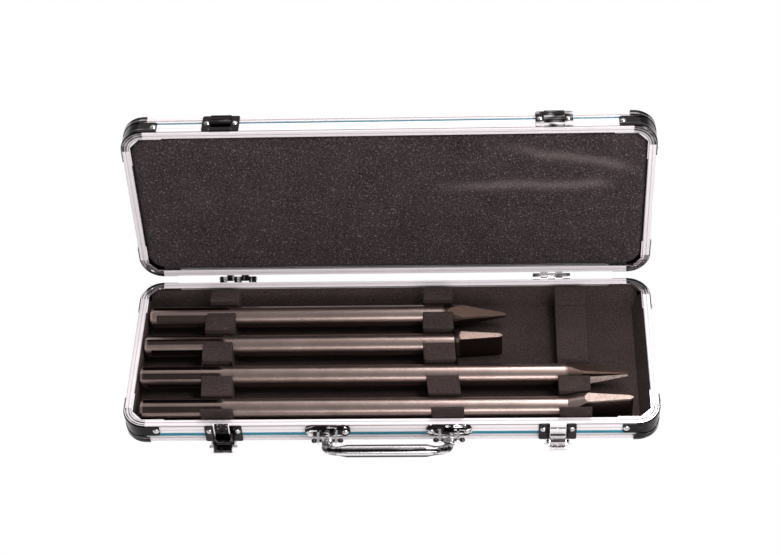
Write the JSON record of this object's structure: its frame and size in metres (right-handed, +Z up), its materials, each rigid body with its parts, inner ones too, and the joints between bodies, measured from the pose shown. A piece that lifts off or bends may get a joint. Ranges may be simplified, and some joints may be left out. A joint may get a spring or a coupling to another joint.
{
  "type": "cased hammer chisel set",
  "caption": "Flat aluminium-framed carrying case, lid open, foam racks inside holding short and long point and flat hammer chisels with slotted shanks; draw latches and a folding handle.",
  "frame": {"origin": "centre of the base tray's flat underside", "axes": "+X to the right along the case seen from the handle side, +Y towards the hinges, +Z up out of the base tray"},
  "size_m": [0.4344, 0.2297, 0.1795],
  "materials": {
    "frame_rail": "satin extruded",
    "board": "teal laminate",
    "panel": "teal laminate",
    "foam": "dark closed-cell foam",
    "chisel_steel": "satin forged steel",
    "corner_casting": "polished",
    "corner_cap": "polished",
    "rivet": "polished",
    "fitting": "polished",
    "handle": "polished"
  },
  "bodies": {
    "base": {"base_panel": "panel", "base_front_board": "board", "base_back_board": "board", "base_end_boards": "board", "base_front_rim": "frame_rail", "base_front_edge": "frame_rail", "base_back_rim": "frame_rail", "base_back_edge": "frame_rail", "base_left_rim": "frame_rail", "base_left_edge": "frame_rail", "base_right_rim": "frame_rail", "base_right_edge": "frame_rail", "base_rim_corners": "corner_casting", "base_corner_caps": "corner_cap", "base_corner_rivets": "rivet", "base_fitting_rivets": "rivet", "base_floor_foam": "foam", "base_wall_foam": "foam", "foam_rack_left": "foam", "foam_rack_middle": "foam", "foam_rack_right": "foam", "foam_spacer_right": "foam", "hinge_left_base_leaf": "fitting", "hinge_right_base_leaf": "fitting", "hinge_pins": "fitting", "latch_left_plate": "fitting", "latch_right_plate": "fitting", "latch_pivot_pins": "fitting", "handle_left_bracket": "fitting", "handle_right_bracket": "fitting", "handle_pins": "fitting"},
    "lid": {"lid_panel": "panel", "lid_front_board": "board", "lid_back_board": "board", "lid_end_boards": "board", "lid_front_rim": "frame_rail", "lid_front_edge": "frame_rail", "lid_back_rim": "frame_rail", "lid_back_edge": "frame_rail", "lid_left_rim": "frame_rail", "lid_left_edge": "frame_rail", "lid_right_rim": "frame_rail", "lid_right_edge": "frame_rail", "lid_rim_corners": "corner_casting", "lid_corner_caps": "corner_cap", "lid_rivets": "rivet", "lid_foam": "foam", "hinge_left_lid_leaf": "fitting", "hinge_right_lid_leaf": "fitting", "latch_left_keeper": "fitting", "latch_right_keeper": "fitting"},
    "latch_lever_left": {"latch_left_lever": "fitting"},
    "latch_hook_left": {"latch_left_hook": "fitting"},
    "latch_lever_right": {"latch_right_lever": "fitting"},
    "latch_hook_right": {"latch_right_hook": "fitting"},
    "handle": {"handle": "handle"},
    "short_point_chisel": {"short_point_chisel": "chisel_steel"},
    "short_flat_chisel": {"short_flat_chisel": "chisel_steel"},
    "long_point_chisel": {"long_point_chisel": "chisel_steel"},
    "long_flat_chisel": {"long_flat_chisel": "chisel_steel"}
  },
  "joints": [
    {"name": "lid_hinge", "type": "hinge", "parent": "base", "child": "lid", "pos_m": [0, 0.0805, 0.02065], "axis": [-1, 0, 0], "range_deg": [-96, 0], "deforming": ["lid_foam"]},
    {"name": "latch_lever_left_pivot", "type": "hinge", "parent": "base", "child": "latch_lever_left", "pos_m": [-0.1336, -0.0832, 0.0055], "axis": [1, 0, 0], "range_deg": [-90, 0]},
    {"name": "latch_hook_left_pivot", "type": "hinge", "parent": "latch_lever_left", "child": "latch_hook_left", "pos_m": [-0.1336, -0.0832, 0.0085], "axis": [1, 0, 0], "range_deg": [0, 90]},
    {"name": "latch_lever_right_pivot", "type": "hinge", "parent": "base", "child": "latch_lever_right", "pos_m": [0.1336, -0.0832, 0.0055], "axis": [1, 0, 0], "range_deg": [-90, 0]},
    {"name": "latch_hook_right_pivot", "type": "hinge", "parent": "latch_lever_right", "child": "latch_hook_right", "pos_m": [0.1336, -0.0832, 0.0085], "axis": [1, 0, 0], "range_deg": [0, 90]},
    {"name": "handle_pivot", "type": "hinge", "parent": "base", "child": "handle", "pos_m": [-0.0012, -0.0865, 0.0115], "axis": [-1, 0, 0], "range_deg": [-124.5, 55.5]},
    {"name": "short_point_chisel_lift", "type": "slide", "parent": "base", "child": "short_point_chisel", "axis": [0, 0, 1], "range_m": [0, 0.06]},
    {"name": "short_flat_chisel_lift", "type": "slide", "parent": "base", "child": "short_flat_chisel", "axis": [0, 0, 1], "range_m": [0, 0.06]},
    {"name": "long_point_chisel_lift", "type": "slide", "parent": "base", "child": "long_point_chisel", "axis": [0, 0, 1], "range_m": [0, 0.06]},
    {"name": "long_flat_chisel_lift", "type": "slide", "parent": "base", "child": "long_flat_chisel", "axis": [0, 0, 1], "range_m": [0, 0.06]}
  ],
  "couplings": [
    {"joint": "latch_hook_left_pivot", "follows": "latch_lever_left_pivot", "ratio": -1},
    {"joint": "latch_hook_right_pivot", "follows": "latch_lever_right_pivot", "ratio": -1}
  ]
}
